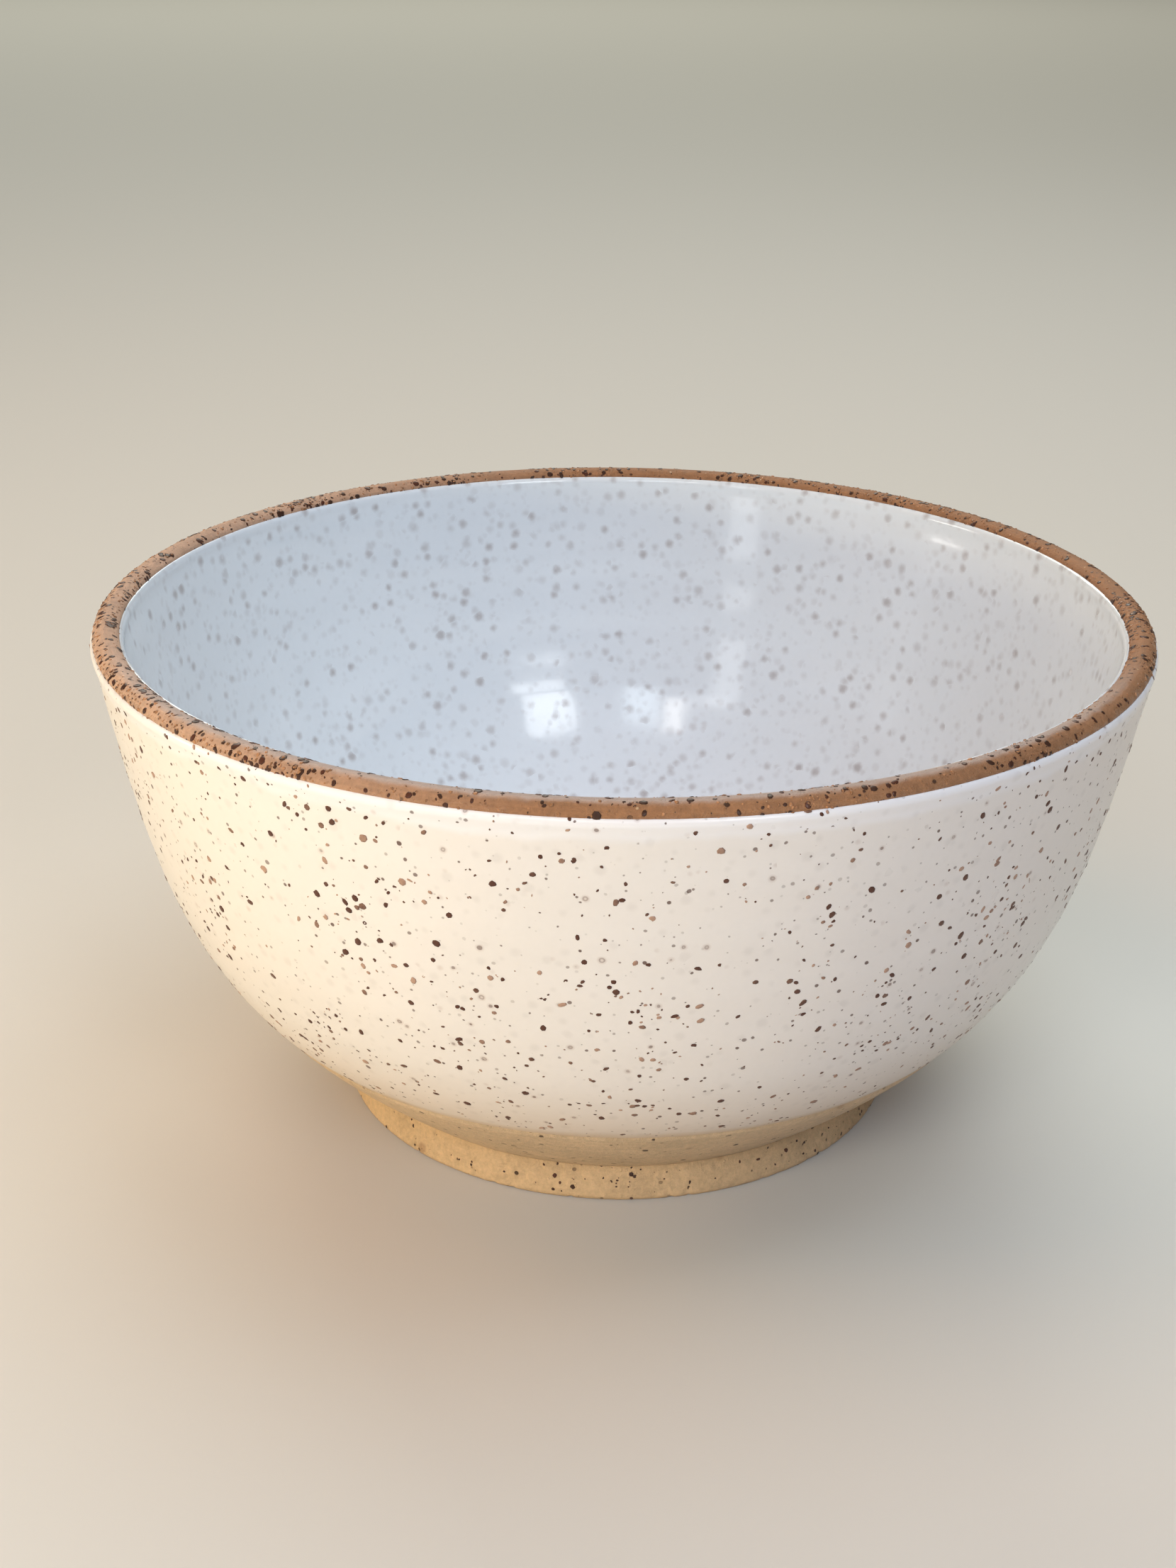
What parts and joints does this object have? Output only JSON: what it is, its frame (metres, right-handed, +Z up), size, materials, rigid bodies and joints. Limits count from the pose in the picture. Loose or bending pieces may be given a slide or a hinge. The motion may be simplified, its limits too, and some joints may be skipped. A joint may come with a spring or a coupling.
{
  "type": "yarn bowl",
  "caption": "Round wheel-thrown stoneware bowl with speckled cream and pale grey glaze, a bare toasted clay lip and a bare trimmed foot ring, for holding a ball of yarn.",
  "frame": {"origin": "centre of the circle that the foot ring stands on, at the level of the table", "axes": "+Z up along the bowl's axis of rotation, towards the open mouth; +X and +Y are level and interchangeable, because the bowl is round"},
  "size_m": [0.16, 0.16, 0.08],
  "materials": {
    "toasted_clay": "bare toasted speckled stoneware, fine sandy grain, matte to slightly sheened",
    "foot_clay": "bare buff stoneware, trimmed and wiped, matte",
    "cream_glaze": "satin-gloss cream white glaze with dark brown iron specks",
    "pale_grey_glaze": "glossy pale grey-white glaze with soft muted specks"
  },
  "bodies": {
    "root": {"clay_body": "toasted_clay", "foot_ring": "foot_clay", "outer_glaze": "cream_glaze", "inner_glaze": "pale_grey_glaze"}
  },
  "joints": []
}
